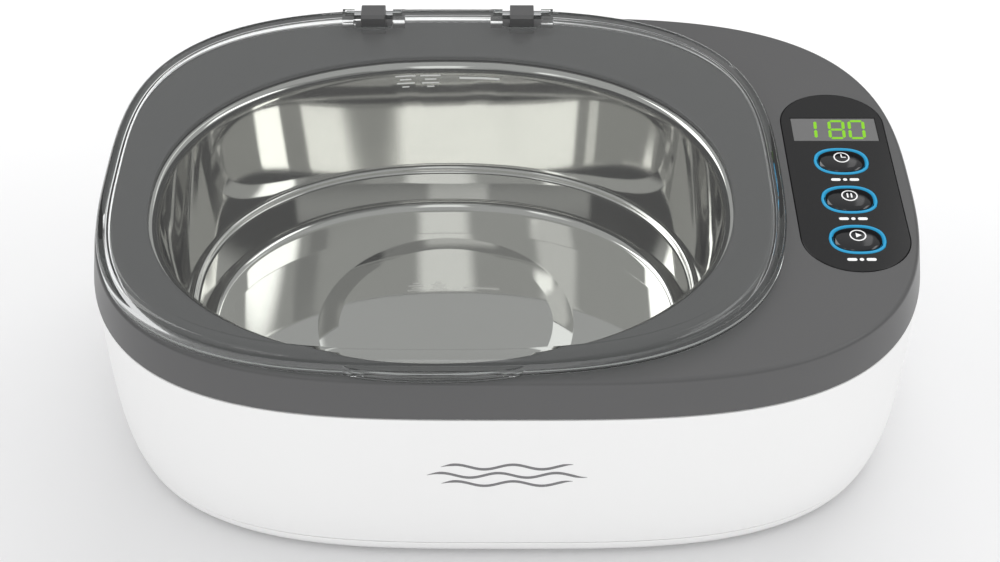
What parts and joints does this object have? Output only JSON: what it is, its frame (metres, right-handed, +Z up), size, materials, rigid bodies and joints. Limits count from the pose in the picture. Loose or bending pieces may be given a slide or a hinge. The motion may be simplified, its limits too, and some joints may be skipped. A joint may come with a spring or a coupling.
{
  "type": "ultrasonic cleaner",
  "caption": "Compact ultrasonic cleaner: oval steel tank in a two-tone plastic housing, clear hinged lid, control panel with display and push buttons.",
  "frame": {"origin": "on the surface the feet stand on, under the middle of the housing", "axes": "+X to the control panel on the right, +Y to the hinge at the back, +Z up"},
  "size_m": [0.2132, 0.1486, 0.0735],
  "materials": {
    "white_plastic": "satin",
    "grey_plastic": "satin",
    "clear_plastic": "clear, glossy",
    "polished_steel": "mirror polished",
    "pin_steel": "polished",
    "fascia_black": "glossy",
    "button_black": "glossy",
    "ring_blue": "satin",
    "display_grey": "glossy",
    "silicone": "matte",
    "foot_rubber": "matte",
    "circuit_board": "satin",
    "component_black": "satin",
    "component_red": "satin",
    "ferrite": "matte",
    "copper_winding": "satin",
    "aluminium": "satin",
    "piezo_ceramic": "matte",
    "fuse_glass": "glossy",
    "screw_steel": "satin",
    "lead_red": "satin",
    "lead_black": "satin",
    "ribbon_grey": "satin"
  },
  "bodies": {
    "housing": {"base_shell": "white_plastic", "bottom_cover": "white_plastic", "top_cover": "grey_plastic", "tank": "polished_steel", "tank_gasket": "silicone", "hinge_clip_left": "grey_plastic", "hinge_clip_right": "grey_plastic", "control_fascia": "fascia_black", "display_window": "display_grey", "display_module": "component_black", "button_ring_timer": "ring_blue", "button_ring_pause": "ring_blue", "button_ring_start": "ring_blue", "tact_switch_timer": "component_black", "tact_switch_pause": "component_black", "tact_switch_start": "component_black", "control_board": "circuit_board", "control_board_screw_1": "screw_steel", "control_board_screw_2": "screw_steel", "control_board_screw_3": "screw_steel", "control_board_screw_4": "screw_steel", "power_board": "circuit_board", "power_board_screw_1": "screw_steel", "power_board_screw_2": "screw_steel", "power_board_screw_3": "screw_steel", "power_board_screw_4": "screw_steel", "transformer_core": "ferrite", "transformer_winding": "copper_winding", "inductor": "copper_winding", "filter_capacitor": "component_black", "drive_capacitor": "component_red", "heat_sink": "aluminium", "power_transistor": "component_black", "fuse": "fuse_glass", "transducer_plate": "aluminium", "transducer_disc": "piezo_ceramic", "power_inlet": "component_black", "inlet_pin_left": "pin_steel", "inlet_pin_right": "pin_steel", "ribbon_cable": "ribbon_grey", "transducer_lead_live": "lead_red", "transducer_lead_return": "lead_black", "mains_lead_live": "lead_red", "mains_lead_neutral": "lead_black", "foot_1": "foot_rubber", "foot_2": "foot_rubber", "foot_3": "foot_rubber", "foot_4": "foot_rubber", "bottom_screw_1": "screw_steel", "bottom_screw_2": "screw_steel", "bottom_screw_3": "screw_steel", "bottom_screw_4": "screw_steel"},
    "lid": {"lid": "clear_plastic", "hinge_pin_left": "pin_steel", "hinge_pin_right": "pin_steel"},
    "button_timer": {"button_timer": "button_black"},
    "button_pause": {"button_pause": "button_black"},
    "button_start": {"button_start": "button_black"}
  },
  "joints": [
    {"name": "lid_hinge", "type": "hinge", "parent": "housing", "child": "lid", "pos_m": [-0.01695, 0.0674, 0.0707], "axis": [-1, 0, 0], "range_deg": [0, 100]},
    {"name": "button_timer_press", "type": "slide", "parent": "housing", "child": "button_timer", "axis": [0, 0, -1], "range_m": [0, 0.0006], "stiffness_N_per_m": 1500, "springref_m": -0.0004},
    {"name": "button_pause_press", "type": "slide", "parent": "housing", "child": "button_pause", "axis": [0, 0, -1], "range_m": [0, 0.0006], "stiffness_N_per_m": 1500, "springref_m": -0.0004},
    {"name": "button_start_press", "type": "slide", "parent": "housing", "child": "button_start", "axis": [0, 0, -1], "range_m": [0, 0.0006], "stiffness_N_per_m": 1500, "springref_m": -0.0004}
  ]
}
